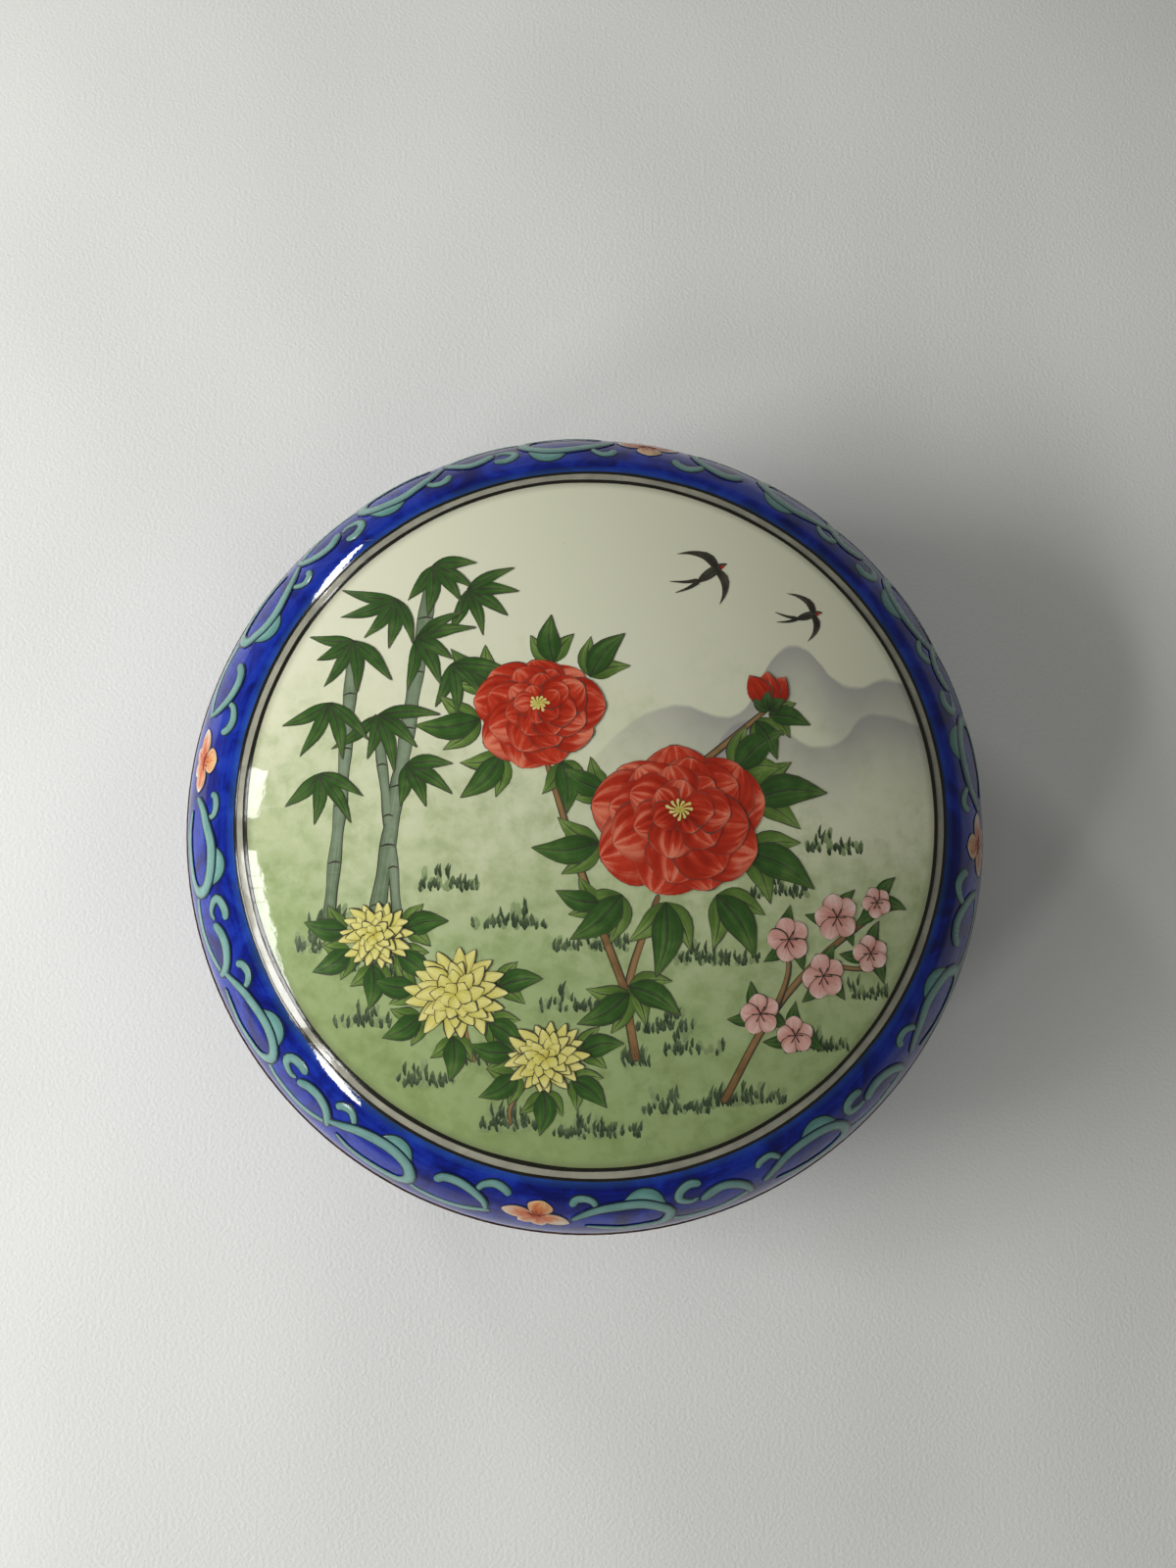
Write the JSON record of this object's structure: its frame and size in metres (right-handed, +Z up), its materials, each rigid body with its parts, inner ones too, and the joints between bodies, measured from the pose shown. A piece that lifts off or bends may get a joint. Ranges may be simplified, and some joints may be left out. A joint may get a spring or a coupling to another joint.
{
  "type": "round lidded porcelain box",
  "caption": "Round squat porcelain box on a foot ring, with a domed lift-off lid, a painted garden panel and a blue border with flower and vine scroll in raised enamel.",
  "frame": {"origin": "centre of the plane that the foot ring rests on", "axes": "+Z up along the axis of the box and the lid's lift; +X towards the right of the painted panel as it is read, +Y towards its top"},
  "size_m": [0.12, 0.12, 0.0479],
  "materials": {
    "porcelain": "glossy clear glaze over white porcelain",
    "picture_ground": "glossy cream to celadon enamel wash",
    "blue_enamel": "glossy cobalt blue enamel",
    "grey_enamel": "thin brushed grey-beige enamel line",
    "black_enamel": "thin brushed black enamel line",
    "brown_dressing": "satin iron-brown rim dressing",
    "turquoise_enamel": "raised turquoise enamel",
    "coral_enamel": "raised coral enamel"
  },
  "bodies": {
    "base": {"base_bowl": "porcelain", "base_blue_enamel": "blue_enamel", "base_rim_dressing": "brown_dressing", "base_lower_line": "black_enamel", "base_vine_1": "turquoise_enamel", "base_vine_2": "turquoise_enamel", "base_vine_3": "turquoise_enamel", "base_vine_4": "turquoise_enamel", "base_flower_1": "coral_enamel", "base_flower_2": "coral_enamel", "base_flower_3": "coral_enamel", "base_flower_4": "coral_enamel"},
    "lid": {"lid_shell": "porcelain", "lid_picture_ground": "picture_ground", "lid_inner_line": "black_enamel", "lid_grey_line": "grey_enamel", "lid_outer_line": "black_enamel", "lid_blue_enamel": "blue_enamel", "lid_rim_dressing": "brown_dressing", "lid_vine_1": "turquoise_enamel", "lid_vine_2": "turquoise_enamel", "lid_vine_3": "turquoise_enamel", "lid_vine_4": "turquoise_enamel", "lid_flower_1": "coral_enamel", "lid_flower_2": "coral_enamel", "lid_flower_3": "coral_enamel", "lid_flower_4": "coral_enamel"}
  },
  "joints": [
    {"name": "lid_lift", "type": "slide", "parent": "base", "child": "lid", "axis": [0, 0, 1], "range_m": [0, 0.08]}
  ]
}
